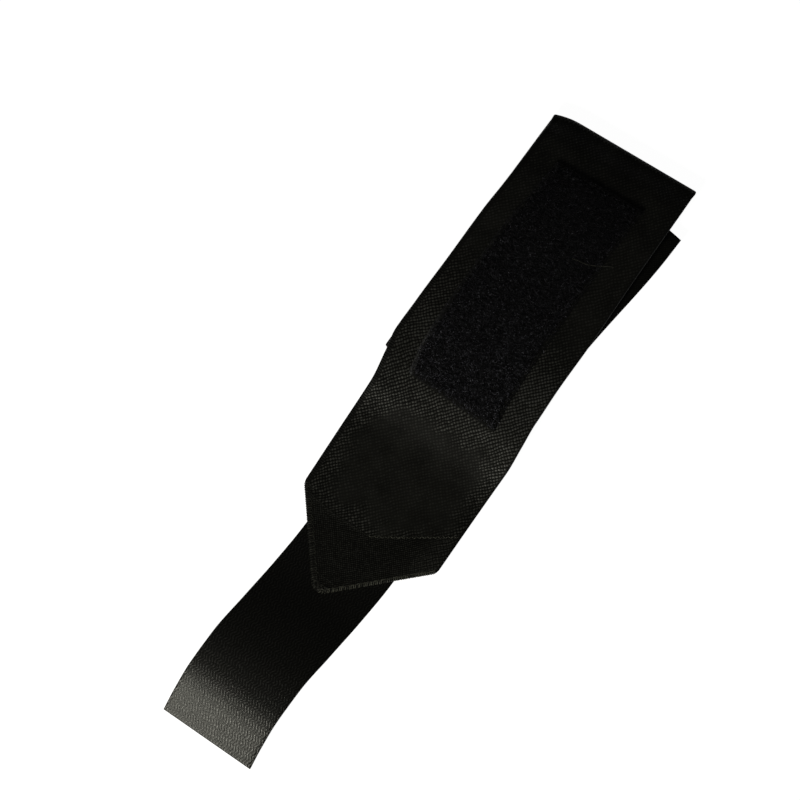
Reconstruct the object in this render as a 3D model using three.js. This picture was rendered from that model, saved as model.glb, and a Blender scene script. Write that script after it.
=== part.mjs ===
import * as THREE from "three";

// A wrist wrap lying folded on a flat surface. Sizes are in millimetres and angles in degrees.
// +X runs across the band, +Y along it towards the first fold, +Z up. The first fold is at y 0.

// The elastic band: tab and outer layer on top, then the first fold, the bottom layer,
// the second fold, and the inner layer that ends between the two others.
const bandWidth = 78;
const bandThickness = 2;
const outerLayerLength = 260;
const stackLength = 146;
const innerEndToFold = 16;
const tabLength = 40;
const tabTipWidth = 5;
const tabTipShift = -4;
const firstFoldHeight = 6.4;
const secondFoldHeight = 5.4;
const layerGap = 0.4;

// How the layers lie askew on each other.
const firstFoldTurn = 4.4;
const bottomLayerTurn = -1.6;
const secondFoldTurn = -3.4;
const innerLayerTurn = -6.6;
const foldCornerDrop = 2.4;
const foldCornerWidth = 13;
const foldCornerLength = 14;
const foldBendLength = 4;

// The strap of hook tape, sewn under the tab.
const strapWidth = 51;
const strapThickness = 1.5;
const strapSewnLength = 45;
const strapFreeLength = 89;
const strapArchHeight = 6.5;

// The patch of loop pile on the outer layer: a thin sewn border round the raised pile.
const patchWidth = 50;
const patchLength = 126;
const patchToTip = 112;
const patchBorder = 2.4;
const patchBorderThickness = 1;
const pileThickness = 2.4;

// The thumb loop, a ribbon doubled over and sewn to the end of the inner layer.
const loopRibbonWidth = 14;
const loopRibbonThickness = 1;
const loopFreeLength = 53;
const loopSewnLength = 12;
const loopPlyGap = 0.5;
const loopEyeRadius = 1;
const loopFromEnd = 1.5;
const loopFromSide = 10;
const loopEyeLength = 12;

// The patch's course on the band. along: share of its length from the end nearest the tab;
// shift: its middle from the band's middle; wide: its width as a share of the full width.
const patchPlaces = [
  { along: 0, shift: -0.2, wide: 1 },
  { along: 0.1, shift: -0.8, wide: 1.02 },
  { along: 0.25, shift: -1.6, wide: 1.035 },
  { along: 0.45, shift: -2.3, wide: 1.03 },
  { along: 0.65, shift: -2.2, wide: 1.02 },
  { along: 0.85, shift: -1.4, wide: 0.985 },
  { along: 1, shift: -0.5, wide: 0.96 },
];

// Space between pieces that touch, and how finely the surfaces are divided.
const clearance = 0.3;
const stationStep = 5;
const fineStep = 3;
const hiddenStep = 7;
const foldSteps = 9;
const loopSteps = 7;
const bandColumns = 7;
const strapColumns = 5;
const patchColumns = 6;
const loopColumns = 2;

// Rounded edges: distance in from the edge, and the share of the full thickness there.
const selvedge = [
  { inset: 0, share: 0.35 },
  { inset: 0.3, share: 0.8 },
  { inset: 1, share: 1 },
];

const radians = THREE.MathUtils.degToRad;

// Where the outer layer lies. drift: its middle in x; wide: its width as a share of the band's;
// under: the height of its underside.
const onStrap = strapThickness + clearance;
const overRoll = secondFoldHeight + clearance + 0.2;
const overLoop =
  2 * bandThickness + layerGap + 2 * loopRibbonThickness + 2 * loopEyeRadius + clearance;
const firstFoldLean = 16;
const strapStart = -outerLayerLength + strapSewnLength;
const firstRadius = (firstFoldHeight - bandThickness) / 2;
const firstFoldStart =
  -bandThickness / 2 - firstRadius * (1 - Math.sin(radians(firstFoldLean)));
const firstFoldUnder = firstRadius * (1 + Math.cos(radians(firstFoldLean)));
const outerLayerPlaces = [
  { y: -outerLayerLength + tabLength, drift: 2, wide: 1 },
  { y: -stackLength - 44, drift: 1.6, wide: 1.01 },
  { y: -stackLength - 16, drift: 1.3, wide: 1.02 },
  { y: -stackLength, drift: -0.5, wide: 1.035 },
  { y: -stackLength + 13, drift: -2.1, wide: 1.05 },
  { y: -stackLength + 30, drift: -2.1, wide: 1.04 },
  { y: -0.6 * stackLength, drift: -1.5, wide: 1.035 },
  { y: -0.42 * stackLength, drift: -1.4, wide: 1.025 },
  { y: -0.3 * stackLength, drift: -0.9, wide: 1.01 },
  { y: 0, drift: 0.2, wide: 0.99 },
];
const outerLayerHeights = [
  { y: strapStart, under: onStrap },
  { y: strapStart + 10, under: onStrap - 0.5 },
  { y: -stackLength - 36, under: 0.5 },
  { y: -stackLength - 28, under: 1.1 },
  { y: -stackLength - 12, under: overRoll - 1.4 },
  { y: -stackLength + 2, under: overRoll },
  { y: -stackLength + 56, under: overRoll },
  { y: -innerEndToFold - 28, under: overLoop - 0.3 },
  { y: -innerEndToFold - 14, under: overLoop },
  { y: -innerEndToFold + 2, under: overLoop - 0.4 },
  { y: firstFoldStart, under: firstFoldUnder },
];

const turnLength = 20;
const outerDropStart = -stackLength + 8;
const outerDropEnd = -stackLength - 40;

// The hook strap. past: distance past the tip of the tab, as a share of the free length;
// rise: height of its underside, as a share of the arch; drift: its middle in x.
const strapPlaces = [
  { past: -strapSewnLength / strapFreeLength, rise: 0, drift: 1.2 },
  { past: -0.25, rise: 0, drift: 0.6 },
  { past: 0, rise: 0.16, drift: -1.2 },
  { past: 0.25, rise: 0.74, drift: -3.9 },
  { past: 0.48, rise: 1, drift: -6.4 },
  { past: 0.7, rise: 0.86, drift: -6.9 },
  { past: 0.87, rise: 0.44, drift: -5.9 },
  { past: 1, rise: 0, drift: -4.5 },
];

// Where the inner layer lies. drift: its middle in x; middle: the height of its middle surface.
const secondFoldDrift = -3.6;
const innerRadius = (secondFoldHeight - bandThickness) / 2;
const secondFoldCentre = -stackLength + bandThickness / 2 + innerRadius;
const innerMiddle = bandThickness + layerGap + bandThickness / 2;
const innerLayerPlaces = [
  { y: secondFoldCentre, drift: secondFoldDrift, middle: secondFoldHeight - bandThickness / 2 },
  { y: secondFoldCentre + 14, drift: secondFoldDrift + 0.3, middle: innerMiddle + 0.2 },
  { y: secondFoldCentre + 30, drift: secondFoldDrift + 1.2, middle: innerMiddle },
  { y: -0.56 * stackLength, drift: 0.5, middle: innerMiddle },
  { y: -innerEndToFold - 15, drift: 6.4, middle: innerMiddle },
  { y: -innerEndToFold, drift: 7.2, middle: innerMiddle },
];

// A smooth value between the rows of a table, which never swings past them.
function between(rows, key, column, at) {
  const last = rows.length - 1;
  const slope = (i) =>
    (rows[i + 1][column] - rows[i][column]) / (rows[i + 1][key] - rows[i][key]);
  const bend = (i) => {
    if (i === 0) return slope(0);
    if (i === last) return slope(last - 1);
    const before = slope(i - 1);
    const after = slope(i);
    return before * after > 0 ? (2 * before * after) / (before + after) : 0;
  };
  if (at <= rows[0][key]) return rows[0][column];
  if (at >= rows[last][key]) return rows[last][column];
  const i = rows.findIndex((row) => row[key] > at) - 1;
  const long = rows[i + 1][key] - rows[i][key];
  const t = (at - rows[i][key]) / long;
  const rise = t * t * (3 - 2 * t);
  return (
    rows[i][column] * (1 - rise) +
    rows[i + 1][column] * rise +
    bend(i) * long * t * (1 - t) * (1 - t) -
    bend(i + 1) * long * t * t * (1 - t)
  );
}

// Evenly spaced values from one number to another: in a count of steps, or under a step apart.
function divided(from, to, count) {
  return Array.from({ length: count + 1 }, (_, i) => from + ((to - from) * i) / count);
}

function spaced(from, to, step) {
  return divided(from, to, Math.max(1, Math.ceil(Math.abs(to - from) / step)));
}

// The same through several stops, each stretch under its own step.
function through(start, stops) {
  return stops.reduce((found, { to, step }) => {
    return [...found, ...spaced(found[found.length - 1], to, step).slice(1)];
  }, [start]);
}

// One line across a piece: its middle, the direction across it, and its two half widths.
function station(x, y, z, turn, half, corner = 0, share = 1) {
  const across = new THREE.Vector3(Math.cos(radians(turn)), Math.sin(radians(turn)), 0);
  return { middle: new THREE.Vector3(x, y, z), across, half, corner, share };
}

function strapUnder(y) {
  const past = (-outerLayerLength - y) / strapFreeLength;
  return strapArchHeight * between(strapPlaces, "past", "rise", past);
}

// The outer layer at a distance along the band, with the tab narrowing to its tip.
function outerStation(y, share = 1) {
  const onTab = Math.min(1, (y + outerLayerLength) / tabLength);
  const tip = tabTipWidth / 2;
  const under =
    y < strapStart ? strapUnder(y) + onStrap : between(outerLayerHeights, "y", "under", y);
  const turned = THREE.MathUtils.smoothstep(y, -stackLength, -turnLength);
  return station(
    between(outerLayerPlaces, "y", "drift", y) + tabTipShift * (1 - onTab),
    y,
    under + bandThickness / 2,
    firstFoldTurn * turned,
    tip + ((bandWidth / 2) * between(outerLayerPlaces, "y", "wide", y) - tip) * onTab,
    THREE.MathUtils.smoothstep(y, -foldCornerLength, -foldBendLength),
    share,
  );
}

function bottomStation(y) {
  const turned = THREE.MathUtils.smoothstep(-y, foldBendLength, stackLength / 2);
  const nearFold = THREE.MathUtils.smoothstep(-y, stackLength - 2 * turnLength, stackLength);
  const turn =
    firstFoldTurn +
    (bottomLayerTurn - firstFoldTurn) * turned +
    (secondFoldTurn - bottomLayerTurn) * nearFold;
  return station(
    (secondFoldDrift * -y) / stackLength,
    y,
    bandThickness / 2,
    turn,
    bandWidth / 2,
    1 - THREE.MathUtils.smoothstep(-y, foldBendLength, foldCornerLength),
  );
}

function innerStation(y, share = 1) {
  const turned = THREE.MathUtils.smoothstep(y, secondFoldCentre, -stackLength / 2);
  return station(
    between(innerLayerPlaces, "y", "drift", y),
    y,
    between(innerLayerPlaces, "y", "middle", y),
    secondFoldTurn + (innerLayerTurn - secondFoldTurn) * turned,
    bandWidth / 2,
    0,
    share,
  );
}

// A fold: half a turn from the top of the upper layer's arc to the lower layer, or back.
function foldStations(centreY, radius, lean, sign, x, turn, corner) {
  return Array.from({ length: foldSteps }, (_, i) => {
    const angle = radians(lean + ((180 - lean) * (i + 0.5)) / foldSteps);
    return station(
      x,
      centreY + sign * radius * Math.sin(angle),
      bandThickness / 2 + radius * (1 + sign * Math.cos(angle)),
      turn,
      bandWidth / 2,
      corner,
    );
  });
}

// A closed cloth solid over a grid of middle points, given its reach above and below them.
function clothSolid(grid, above, below) {
  const rows = grid.length;
  const columns = grid[0].length;
  const apart = (i, j, i2, j2) => grid[i2][j2].clone().sub(grid[i][j]);
  const normal = (i, j) => {
    const along = apart(Math.max(i - 1, 0), j, Math.min(i + 1, rows - 1), j);
    const across = apart(i, Math.max(j - 1, 0), i, Math.min(j + 1, columns - 1));
    return across.cross(along).normalize();
  };
  const positions = [];
  for (const side of [1, -1]) {
    grid.forEach((row, i) =>
      row.forEach((point, j) => {
        const reach = side > 0 ? above(i, j) : -below(i, j);
        positions.push(...point.clone().addScaledVector(normal(i, j), reach).toArray());
      }),
    );
  }
  const upper = (i, j) => i * columns + j;
  const lower = (i, j) => rows * columns + i * columns + j;
  const triangles = [];
  const quad = (a, b, c, d) => triangles.push(a, b, c, a, c, d);
  for (let i = 0; i < rows - 1; i++) {
    for (let j = 0; j < columns - 1; j++) {
      quad(upper(i, j), upper(i, j + 1), upper(i + 1, j + 1), upper(i + 1, j));
      quad(lower(i, j), lower(i + 1, j), lower(i + 1, j + 1), lower(i, j + 1));
    }
    const right = columns - 1;
    quad(upper(i, 0), upper(i + 1, 0), lower(i + 1, 0), lower(i, 0));
    quad(upper(i, right), lower(i, right), lower(i + 1, right), upper(i + 1, right));
  }
  for (let j = 0; j < columns - 1; j++) {
    const end = rows - 1;
    quad(upper(0, j), lower(0, j), lower(0, j + 1), upper(0, j + 1));
    quad(upper(end, j), upper(end, j + 1), lower(end, j + 1), lower(end, j));
  }
  const geometry = new THREE.BufferGeometry();
  geometry.setAttribute("position", new THREE.Float32BufferAttribute(positions, 3));
  geometry.setIndex(triangles);
  geometry.computeVertexNormals();
  return geometry;
}

// Distances across a piece from its left edge to its right one, with the selvedge rows.
function acrossPlaces(half, count, edges) {
  const inner = edges[edges.length - 1].inset;
  const middle = divided(-half + inner, half - inner, count);
  const left = edges.slice(0, -1).map((row) => -half + row.inset);
  const right = left.map((w) => -w).reverse();
  return [...left, ...middle, ...right];
}

function edgeShare(j, columns, edges) {
  const fromEdge = Math.min(j, columns - 1 - j, edges.length - 1);
  return edges[fromEdge].share;
}

// The points across one station; a rounded corner holds the left end of a fold back.
function acrossPoints(line, places) {
  return places.map((w) => {
    const point = line.middle.clone().addScaledVector(line.across, w);
    const past = Math.max(0, (-w - bandWidth / 2 + foldCornerWidth) / foldCornerWidth);
    point.y -= foldCornerDrop * line.corner * past * past;
    return point;
  });
}

function clothStrip(lines, count, thickness) {
  const grid = lines.map((line) => acrossPoints(line, acrossPlaces(line.half, count, selvedge)));
  const columns = grid[0].length;
  const reach = (i, j) => (thickness / 2) * lines[i].share * edgeShare(j, columns, selvedge);
  return clothSolid(grid, reach, reach);
}

function bandGeometry() {
  const tip = -outerLayerLength;
  const firstFold = foldStations(
    -bandThickness / 2 - firstRadius, firstRadius, firstFoldLean, 1, 0, firstFoldTurn, 1,
  );
  const secondFold = foldStations(
    secondFoldCentre, innerRadius, 0, -1, secondFoldDrift, secondFoldTurn, 0,
  );
  const innerEnd = -innerEndToFold;
  const edges = selvedge.slice(0, -1);
  const edgeInset = selvedge[selvedge.length - 1].inset;
  const outerRows = through(tip + edgeInset, [
    { to: tip + tabLength, step: stationStep },
    { to: outerDropEnd, step: stationStep },
    { to: outerDropStart, step: fineStep },
    { to: -turnLength, step: stationStep },
    { to: firstFoldStart, step: fineStep },
  ]);
  const bottomRows = through(-bandThickness / 2 - firstRadius - 1, [
    { to: -turnLength, step: fineStep },
    { to: secondFoldCentre + 1, step: hiddenStep },
  ]);
  const innerRows = through(secondFoldCentre + 1, [
    { to: secondFoldCentre + turnLength, step: stationStep },
    { to: innerEnd - edgeInset, step: hiddenStep },
  ]);
  const lines = [
    ...edges.map((row) => outerStation(tip + row.inset, row.share)),
    ...outerRows.map((y) => outerStation(y)),
    ...firstFold,
    ...bottomRows.map(bottomStation),
    ...secondFold,
    ...innerRows.map((y) => innerStation(y)),
    ...edges.map((row) => innerStation(innerEnd - row.inset, row.share)).reverse(),
  ];
  return clothStrip(lines, bandColumns, bandThickness);
}

function strapGeometry() {
  const end = -outerLayerLength - strapFreeLength;
  const cutInset = 0.3;
  const cutShare = 0.8;
  const places = spaced(end + 1, strapStart - 1, stationStep);
  const lines = [end, end + cutInset, ...places, strapStart - cutInset, strapStart].map((y) =>
    station(
      between(strapPlaces, "past", "drift", (-outerLayerLength - y) / strapFreeLength),
      y,
      strapUnder(y) + strapThickness / 2,
      0,
      strapWidth / 2,
      0,
      y <= end + cutInset || y >= strapStart - cutInset ? cutShare : 1,
    ),
  );
  return clothStrip(lines, strapColumns, strapThickness);
}

// The patch follows the upper face of the outer layer, its border thin and its pile raised.
function patchGeometry() {
  const start = -outerLayerLength + patchToTip;
  const end = start + patchLength;
  const border = [
    { inset: 0, share: patchBorderThickness },
    { inset: patchBorder, share: patchBorderThickness },
    { inset: patchBorder + 0.5, share: pileThickness - 0.5 },
    { inset: patchBorder + 1.4, share: pileThickness },
  ];
  const inner = border[3].inset;
  const head = border.slice(0, 3).map((row) => start + row.inset);
  const tail = border.slice(0, 3).map((row) => end - row.inset).reverse();
  const places = [...head, ...spaced(start + inner, end - inner, stationStep), ...tail];
  const columns = acrossPlaces(patchWidth / 2, patchColumns, border);
  const grid = places.map((y) => {
    const course = (column) => between(patchPlaces, "along", column, (y - start) / patchLength);
    const shifted = columns.map((w) => w * course("wide") + course("shift"));
    return acrossPoints(outerStation(y), shifted);
  });
  const base = bandThickness / 2 + clearance;
  const above = (i, j) =>
    base + Math.min(edgeShare(i, places.length, border), edgeShare(j, columns.length, border));
  return clothSolid(grid, above, () => -base);
}

// The thumb loop lies flat on the inner layer's end, along it, with its eye to the left.
function loopGeometry() {
  const half = loopRibbonThickness / 2;
  const floor = 2 * bandThickness + layerGap + clearance + half;
  const ceiling = floor + loopRibbonThickness + loopPlyGap;
  const sewnEnd = bandWidth / 2 - loopFromSide;
  const eye = sewnEnd - loopSewnLength - loopFreeLength;
  const eyeCentre = eye + half + loopEyeRadius;
  const end = innerStation(-innerEndToFold);
  const along = new THREE.Vector3(-end.across.y, end.across.x, 0);
  const inward = loopFromEnd + loopRibbonWidth / 2;
  const eyeHeight = (floor + ceiling) / 2 + 0.2;
  const plyHeights = [
    { w: eyeCentre, low: eyeHeight - loopEyeRadius, high: eyeHeight + loopEyeRadius },
    { w: eyeCentre + loopEyeLength, low: floor, high: ceiling },
    { w: sewnEnd, low: floor, high: ceiling },
  ];
  const line = (w, z) => {
    const middle = new THREE.Vector3(end.middle.x, end.middle.y, z);
    middle.addScaledVector(end.across, w).addScaledVector(along, -inward);
    return { middle, across: along, half: loopRibbonWidth / 2, corner: 0, share: 1 };
  };
  const ply = (column) => (w) => line(w, between(plyHeights, "w", column, w));
  const turn = Array.from({ length: loopSteps }, (_, i) => {
    const angle = radians((180 * (i + 0.5)) / loopSteps);
    return line(
      eyeCentre - loopEyeRadius * Math.sin(angle),
      eyeHeight - loopEyeRadius * Math.cos(angle),
    );
  });
  const places = spaced(sewnEnd, eyeCentre + 0.3, stationStep);
  const lines = [...places.map(ply("low")), ...turn, ...places.toReversed().map(ply("high"))];
  const columns = acrossPlaces(loopRibbonWidth / 2, loopColumns, selvedge);
  const grid = lines.map((row) => columns.map((w) => row.middle.clone().addScaledVector(along, w)));
  const reach = (i, j) => half * edgeShare(j, columns.length, selvedge);
  return clothSolid(grid, reach, reach);
}

const pieces = [
  { name: "elastic_band", geometry: bandGeometry(), colour: 0x14140f, roughness: 0.9 },
  { name: "hook_strap", geometry: strapGeometry(), colour: 0x1c1c18, roughness: 0.6 },
  { name: "pile_patch", geometry: patchGeometry(), colour: 0x0f0f12, roughness: 1 },
  { name: "thumb_loop", geometry: loopGeometry(), colour: 0x1a1a18, roughness: 0.75 },
];

// The part's frame: the origin is under the middle of the whole, on the surface it lies on.
const bounds = new THREE.Box3();
for (const { geometry } of pieces) {
  geometry.computeBoundingBox();
  bounds.union(geometry.boundingBox);
}
const centre = bounds.getCenter(new THREE.Vector3());

const wristWrap = new THREE.Group();
wristWrap.name = "wrist_wrap";
for (const { name, geometry, colour, roughness } of pieces) {
  geometry.translate(-centre.x, -centre.y, -bounds.min.z);
  const material = new THREE.MeshStandardMaterial({ name, color: colour, roughness, metalness: 0 });
  const mesh = new THREE.Mesh(geometry, material);
  mesh.name = name;
  wristWrap.add(mesh);
}

export default wristWrap;
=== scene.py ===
# A folded wrist wrap: looks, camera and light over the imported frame.
import math

import bpy
import numpy as np
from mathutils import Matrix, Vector


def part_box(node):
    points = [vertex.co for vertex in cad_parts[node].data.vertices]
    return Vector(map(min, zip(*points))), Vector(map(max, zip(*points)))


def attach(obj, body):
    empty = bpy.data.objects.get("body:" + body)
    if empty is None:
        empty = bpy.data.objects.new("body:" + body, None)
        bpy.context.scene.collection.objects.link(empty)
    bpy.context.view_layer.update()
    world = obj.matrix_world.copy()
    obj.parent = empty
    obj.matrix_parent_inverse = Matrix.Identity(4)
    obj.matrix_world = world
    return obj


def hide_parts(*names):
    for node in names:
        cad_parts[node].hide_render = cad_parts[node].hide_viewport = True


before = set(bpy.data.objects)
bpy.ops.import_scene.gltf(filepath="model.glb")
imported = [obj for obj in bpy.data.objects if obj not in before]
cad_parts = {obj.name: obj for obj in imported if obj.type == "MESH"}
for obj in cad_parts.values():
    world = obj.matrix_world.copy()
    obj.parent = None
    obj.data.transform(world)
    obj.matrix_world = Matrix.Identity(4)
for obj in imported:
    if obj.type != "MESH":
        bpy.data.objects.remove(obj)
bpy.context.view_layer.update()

mm = 0.001
print("stage: frame loaded", sorted(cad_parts))

# Sizes that the pieces share, in mm: y counts back from the first fold, w is the place across the cloth.

wrap = {
    "bandWidth": 78.0, "bandThickness": 2.0, "outerLength": 260.0, "stackLength": 146.0,
    "tabLength": 40.0, "tabTipWidth": 5.0, "tabTipShift": -4.0,
    "shoulderRound": 0.045,                              # as a share of the tab's length
    "tipStart": 0.25, "tipRound": 1.6, "tipLeast": 0.1,
    "firstFoldHeight": 6.4, "firstFoldLean": 16.0, "secondFoldHeight": 5.4, "layerGap": 0.4,
    "firstFoldTurn": 4.4, "bottomTurn": -1.6, "secondFoldTurn": -3.4, "innerTurn": -6.6,
    "outerTurnEnd": 20.0, "bottomTurnEnd": 40.0,
    "cornerDrop": 2.4, "cornerWidth": 13.0, "cornerFade": (4, 14),
    "innerEndToFold": 16.0, "secondFoldDrift": -3.6, "clearance": 0.3,
    "strapSewn": 45.0, "strapFree": 89.0, "strapThickness": 1.5, "strapArch": 6.5,
    "strapEvening": (-7, -3.5, 0, 3.5, 7),
    "loopThickness": 1.0, "loopEyeRadius": 1.0,
}
half = wrap["bandWidth"] / 2
thick = wrap["bandThickness"]
stack = wrap["stackLength"]
outer = wrap["outerLength"]


def between(keys, values, at):
    # cubic between the rows of a table, its slopes the harmonic means of the neighbours'
    keys, values, at = np.asarray(keys, float), np.asarray(values, float), np.asarray(at, float)
    slope = np.diff(values) / np.diff(keys)
    before, after = slope[:-1], slope[1:]
    both = before + after
    mean = np.where(before * after > 0, 2 * before * after / np.where(both == 0, 1, both), 0)
    bend = np.concatenate([slope[:1], mean, slope[-1:]])
    i = np.clip(np.searchsorted(keys, at, side="right") - 1, 0, len(keys) - 2)
    long = keys[i + 1] - keys[i]
    t = np.clip((at - keys[i]) / long, 0, 1)
    rise = t * t * (3 - 2 * t)
    return (values[i] * (1 - rise) + values[i + 1] * rise
            + bend[i] * long * t * (1 - t) ** 2 - bend[i + 1] * long * t * t * (1 - t))


def smooth(x, low, high):
    # 0 below low, 1 above high, and three t squared less two t cubed between them
    t = np.clip((x - low) / (high - low), 0, 1)
    return t * t * (3 - 2 * t)


def ripple(x, y, seed, scale):
    # a slow unevenness: five sine waves of random direction and phase, about -1 to 1
    rng = np.random.default_rng(seed)
    total = 0.0
    for _ in range(5):
        angle, phase, step = rng.uniform(0, math.pi), rng.uniform(0, 6.28), rng.uniform(0.7, 1.5)
        total = total + np.sin((x * math.cos(angle) + y * math.sin(angle)) * 6.28 / (scale * step) + phase)
    return total / 3


# The course of each layer, as in the part's own tables. Outer layer: y, sideways place, share of the width.
outerPlaces = np.array([
    [-outer + 40, 2.0, 1.0], [-stack - 44, 1.6, 1.01], [-stack - 16, 1.3, 1.02],
    [-stack, -0.5, 1.035], [-stack + 13, -2.1, 1.05], [-stack + 30, -2.1, 1.04],
    [-0.6 * stack, -1.5, 1.035], [-0.42 * stack, -1.4, 1.025], [-0.3 * stack, -0.9, 1.01],
    [0.0, 0.2, 0.99]])
onStrap = wrap["strapThickness"] + wrap["clearance"]
overRoll = wrap["secondFoldHeight"] + wrap["clearance"] + 0.2
overLoop = (2 * thick + wrap["layerGap"] + 2 * wrap["loopThickness"] + 2 * wrap["loopEyeRadius"]
            + wrap["clearance"])
strapStart = -outer + wrap["strapSewn"]
lean = math.radians(wrap["firstFoldLean"])
firstRadius = (wrap["firstFoldHeight"] - thick) / 2
firstFoldStart = -thick / 2 - firstRadius * (1 - math.sin(lean))

# the outer layer's underside: y, height
outerHeights = np.array([
    [strapStart, onStrap], [strapStart + 10, onStrap - 0.5], [-stack - 36, 0.5],
    [-stack - 28, 1.1], [-stack - 12, overRoll - 1.4], [-stack + 2, overRoll],
    [-stack + 56, overRoll], [-44, overLoop - 0.3], [-30, overLoop], [-14, overLoop - 0.4],
    [firstFoldStart, firstRadius * (1 + math.cos(lean))]])

# the strap: share of the free length past the tip, share of the arch, sideways place
strapPlaces = np.array([
    [-wrap["strapSewn"] / wrap["strapFree"], 0, 1.2], [-0.25, 0, 0.6], [0, 0.16, -1.2],
    [0.25, 0.74, -3.9], [0.5, 1, -6.5], [0.7, 0.885, -6.9], [0.87, 0.412, -5.9], [1, 0, -4.5],
    [1.12, -0.35, -3.2]])

# the inner layer: y, sideways place, height of its middle
innerRadius = (wrap["secondFoldHeight"] - thick) / 2
secondCentre = -stack + thick / 2 + innerRadius
innerMiddle = thick + wrap["layerGap"] + thick / 2
innerPlaces = np.array([
    [secondCentre, -3.6, wrap["secondFoldHeight"] - thick / 2],
    [secondCentre + 14, -3.3, innerMiddle + 0.2], [secondCentre + 30, -2.4, innerMiddle],
    [-0.56 * stack, 0.5, innerMiddle], [-31, 6.4, innerMiddle],
    [-wrap["innerEndToFold"], 7.2, innerMiddle]])


def strapUnder(y):
    # the strap's underside: the table's course, evened out over a few mm to either side
    y = np.asarray(y, float)
    near = [between(strapPlaces[:, 0], strapPlaces[:, 1], (-outer - y - d) / wrap["strapFree"])
            for d in wrap["strapEvening"]]
    return wrap["strapArch"] * np.maximum(np.mean(near, axis=0), 0)


# Each layer is a set of lines across it, with columns x, y, z, turn in degrees, half width, held corner.
def outerLines(y):
    # the half width grows evenly from the tip to the shoulder, whose corner a parabola rounds
    y = np.asarray(y, float)
    share, rounding = (y + outer) / wrap["tabLength"], wrap["shoulderRound"]
    onTab = np.where(np.abs(share - 1) < rounding,
                     share - (share - 1 + rounding) ** 2 / (4 * rounding), np.minimum(1, share))
    tipShare = np.clip((y + outer + wrap["tipStart"]) / wrap["tipRound"], wrap["tipLeast"], 1)
    tip = wrap["tabTipWidth"] / 2 * np.sqrt(tipShare)
    under = np.where(y < strapStart, strapUnder(y) + onStrap,
                     between(outerHeights[:, 0], outerHeights[:, 1], y))
    wide = half * between(outerPlaces[:, 0], outerPlaces[:, 2], y)
    middle = between(outerPlaces[:, 0], outerPlaces[:, 1], y) + wrap["tabTipShift"] * (1 - onTab)
    low, high = wrap["cornerFade"]
    return np.stack([middle, y, under + thick / 2,
                     wrap["firstFoldTurn"] * smooth(y, -stack, -wrap["outerTurnEnd"]),
                     tip + (wide - tip) * onTab, smooth(y, -high, -low)], 1)


def bottomLines(y):
    # flat on the ground, turning slowly from the first fold's direction to the second's
    y = np.asarray(y, float)
    low, high = wrap["cornerFade"]
    first, flat, second = wrap["firstFoldTurn"], wrap["bottomTurn"], wrap["secondFoldTurn"]
    turn = (first + (flat - first) * smooth(-y, 4, stack / 2)
            + (second - flat) * smooth(-y, stack - wrap["bottomTurnEnd"], stack))
    return np.stack([wrap["secondFoldDrift"] * -y / stack, y, np.full_like(y, thick / 2), turn,
                     np.full_like(y, half), 1 - smooth(-y, low, high)], 1)


def innerLines(y):
    # the table's course between the two layers
    y = np.asarray(y, float)
    turned = smooth(y, secondCentre, -stack / 2)
    turn = wrap["secondFoldTurn"] + (wrap["innerTurn"] - wrap["secondFoldTurn"]) * turned
    return np.stack([
        between(innerPlaces[:, 0], innerPlaces[:, 1], y), y,
        between(innerPlaces[:, 0], innerPlaces[:, 2], y), turn, np.full_like(y, half), np.zeros_like(y)], 1)


def foldLines(centreY, radius, leanDegrees, sign, x, turn, corner, count):
    # half a turn round the fold: the middle of the cloth keeps its radius
    angle = np.radians(leanDegrees + (180 - leanDegrees) * (np.arange(count) + 0.5) / count)
    full = np.ones(count)
    height = thick / 2 + radius * (1 + sign * np.cos(angle))
    return np.stack([x * full, centreY + sign * radius * np.sin(angle), height,
                     turn * full, half * full, corner * full], 1)


def acrossGrid(lines, w):
    # the middle surface: each line's middle plus w times its sideways direction, and near the fold
    # the corner drops back by the square of how far it lies into the corner's width
    turn = np.radians(lines[:, 3])[:, None]
    x = lines[:, 0][:, None] + w * np.cos(turn)
    y = lines[:, 1][:, None] + w * np.sin(turn)
    past = np.maximum(0, (-w - half + wrap["cornerWidth"]) / wrap["cornerWidth"])
    y = y - wrap["cornerDrop"] * lines[:, 5][:, None] * past ** 2
    z = np.broadcast_to(lines[:, 2][:, None], x.shape)
    return np.stack([x, y, z], 2)


def gridNormals(grid):
    # the across direction times the along direction, from neighbouring points
    normal = np.cross(np.gradient(grid, axis=1), np.gradient(grid, axis=0))
    return normal / np.maximum(np.linalg.norm(normal, axis=2, keepdims=True), 1e-9)


def centring(rows=900):
    # from y and w to the part's frame: the band's left side and the strap's end are in known places
    lines = outerLines(np.linspace(-outer, firstFoldStart, rows))
    left = acrossGrid(lines, np.array([-1.0, 1.0]) * lines[:, 4][:, None])[..., 0].min()
    bandLow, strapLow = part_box("elastic_band")[0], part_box("hook_strap")[0]
    return np.array([bandLow[0] / mm - left, strapLow[1] / mm + outer + wrap["strapFree"], 0.0])


shiftBy = centring()
print("stage: centred by", np.round(shiftBy, 2).tolist(), "mm")

# Helpers for meshes.


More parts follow.
